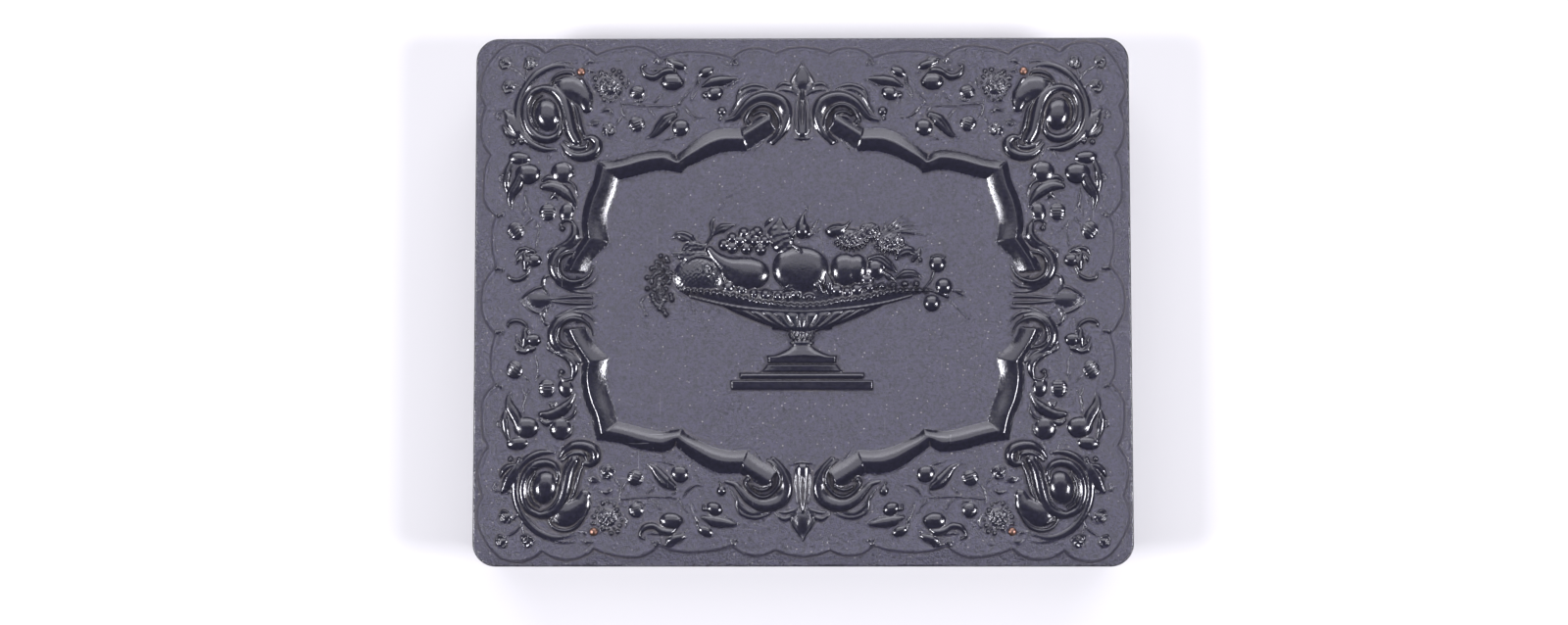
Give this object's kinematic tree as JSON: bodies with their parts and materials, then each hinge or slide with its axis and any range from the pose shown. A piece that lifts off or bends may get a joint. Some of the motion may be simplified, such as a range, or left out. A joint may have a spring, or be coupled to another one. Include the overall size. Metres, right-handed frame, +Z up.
{
  "type": "union case",
  "caption": "Moulded black union case for a half-size plate: hinged halves with a fruit compote in relief, brass hinges and hook clasps, mat, glass and velvet pad.",
  "frame": {"origin": "middle of the flat rim under the base, at the height it rests on", "axes": "+X along the hinges, +Y towards the hinges at the back, +Z up out of the lid"},
  "size_m": [0.157, 0.1285, 0.0262],
  "materials": {
    "moulded_black": "glossy moulded shellac composition, fine grain",
    "aged_brass": "aged, dull",
    "rivet_copper": "aged, domed",
    "packing_card": "pressed card, matt",
    "silvered_plate": "silvered, softly tarnished",
    "mat_brass": "pressed sheet, satin",
    "preserver_brass": "thin foil, embossed",
    "cover_glass": "clear",
    "retainer_velvet": "velvet on a card strip",
    "pad_velvet": "crushed velvet, pressed pattern"
  },
  "bodies": {
    "base": {"base_shell": "moulded_black", "base_hinge_leaf_left": "aged_brass", "hinge_pin_left": "aged_brass", "hook_plate_left": "aged_brass", "hook_pivot_left": "aged_brass", "base_rivet_back_left": "rivet_copper", "base_rivet_front_left": "rivet_copper", "base_hinge_leaf_right": "aged_brass", "hinge_pin_right": "aged_brass", "hook_plate_right": "aged_brass", "hook_pivot_right": "aged_brass", "base_rivet_back_right": "rivet_copper", "base_rivet_front_right": "rivet_copper", "packing_card": "packing_card", "image_plate": "silvered_plate", "brass_mat": "mat_brass", "cover_glass": "cover_glass", "preserver": "preserver_brass", "retainer_strip": "retainer_velvet"},
    "lid": {"lid_shell": "moulded_black", "lid_hinge_leaf_left": "aged_brass", "catch_plate_left": "aged_brass", "lid_rivet_back_left": "rivet_copper", "lid_rivet_front_left": "rivet_copper", "lid_hinge_leaf_right": "aged_brass", "catch_plate_right": "aged_brass", "lid_rivet_back_right": "rivet_copper", "lid_rivet_front_right": "rivet_copper", "pad_board": "packing_card", "velvet_pad": "pad_velvet"},
    "hook_left": {"hook_left": "aged_brass"},
    "hook_right": {"hook_right": "aged_brass"}
  },
  "joints": [
    {"name": "lid_hinge", "type": "hinge", "parent": "base", "child": "lid", "pos_m": [0, 0.0636, 0.01215], "axis": [-1, 0, 0], "range_deg": [0, 172]},
    {"name": "hook_left_swing", "type": "hinge", "parent": "base", "child": "hook_left", "pos_m": [-0.0495, -0.0627, 0.0084], "axis": [0, -1, 0], "range_deg": [0, 90]},
    {"name": "hook_right_swing", "type": "hinge", "parent": "base", "child": "hook_right", "pos_m": [0.0495, -0.0627, 0.0084], "axis": [0, 1, 0], "range_deg": [0, 90]}
  ]
}
